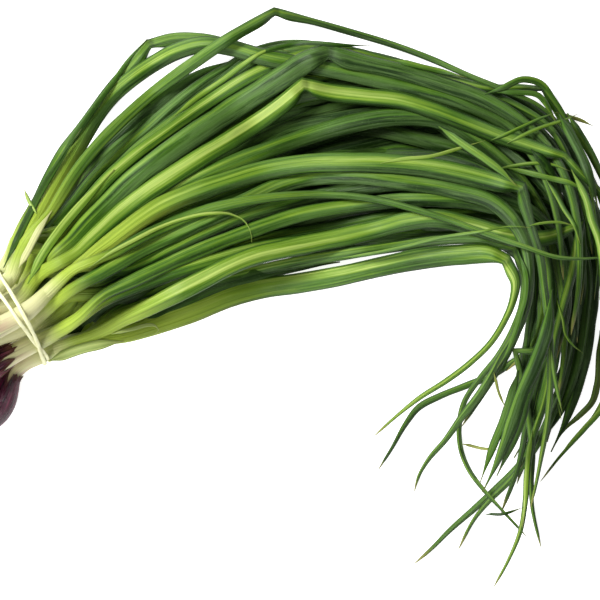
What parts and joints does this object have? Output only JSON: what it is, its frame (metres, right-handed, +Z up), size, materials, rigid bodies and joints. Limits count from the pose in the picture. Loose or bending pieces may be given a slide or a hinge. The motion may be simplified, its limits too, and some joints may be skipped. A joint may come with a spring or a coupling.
{
  "type": "spring onion bunch",
  "caption": "Bunch of red spring onions with bulbs, pale shanks and long drooping hollow leaves, held by a twice-wound rubber band, lying down.",
  "frame": {"origin": "middle of the bunch's bounding box, on the surface that it lies on", "axes": "+Z up from that surface; +X from the bulbs towards the leaf tips; +Y away from the drooping tips"},
  "size_m": [0.4512, 0.3492, 0.0685],
  "materials": {
    "leaf": "waxy green leaf with fine lengthwise veins",
    "bulb_and_shank": "cream shank that turns purple over the bulb, thin papery skin",
    "rubber_band": "pale cream rubber, slightly dusty"
  },
  "bodies": {
    "root": {"onion_1_bulb": "bulb_and_shank", "onion_2_bulb": "bulb_and_shank", "onion_3_bulb": "bulb_and_shank", "onion_4_bulb": "bulb_and_shank", "onion_5_bulb": "bulb_and_shank", "onion_6_bulb": "bulb_and_shank", "onion_7_bulb": "bulb_and_shank", "onion_8_bulb": "bulb_and_shank", "onion_9_bulb": "bulb_and_shank", "onion_1_leaf_1": "leaf", "onion_1_leaf_2": "leaf", "onion_1_leaf_3": "leaf", "onion_1_leaf_4": "leaf", "onion_1_leaf_5": "leaf", "onion_2_leaf_1": "leaf", "onion_2_leaf_2": "leaf", "onion_2_leaf_3": "leaf", "onion_2_leaf_4": "leaf", "onion_2_leaf_5": "leaf", "onion_3_leaf_1": "leaf", "onion_3_leaf_2": "leaf", "onion_3_leaf_3": "leaf", "onion_3_leaf_4": "leaf", "onion_3_leaf_5": "leaf", "onion_3_leaf_6": "leaf", "onion_3_leaf_7": "leaf", "onion_3_leaf_8": "leaf", "onion_4_leaf_1": "leaf", "onion_4_leaf_2": "leaf", "onion_4_leaf_3": "leaf", "onion_5_leaf_1": "leaf", "onion_5_leaf_2": "leaf", "onion_5_leaf_3": "leaf", "onion_5_leaf_4": "leaf", "onion_6_leaf_1": "leaf", "onion_6_leaf_2": "leaf", "onion_6_leaf_3": "leaf", "onion_6_leaf_4": "leaf", "onion_6_leaf_5": "leaf", "onion_6_leaf_6": "leaf", "onion_7_leaf_1": "leaf", "onion_7_leaf_2": "leaf", "onion_7_leaf_3": "leaf", "onion_7_leaf_4": "leaf", "onion_7_leaf_5": "leaf", "onion_7_leaf_6": "leaf", "onion_7_leaf_7": "leaf", "onion_7_leaf_8": "leaf", "onion_8_leaf_1": "leaf", "onion_8_leaf_2": "leaf", "onion_8_leaf_3": "leaf", "onion_8_leaf_4": "leaf", "onion_8_leaf_5": "leaf", "onion_9_leaf_1": "leaf", "onion_9_leaf_2": "leaf", "onion_9_leaf_3": "leaf", "onion_9_leaf_4": "leaf", "onion_9_leaf_5": "leaf", "rubber_band": "rubber_band"}
  },
  "joints": []
}
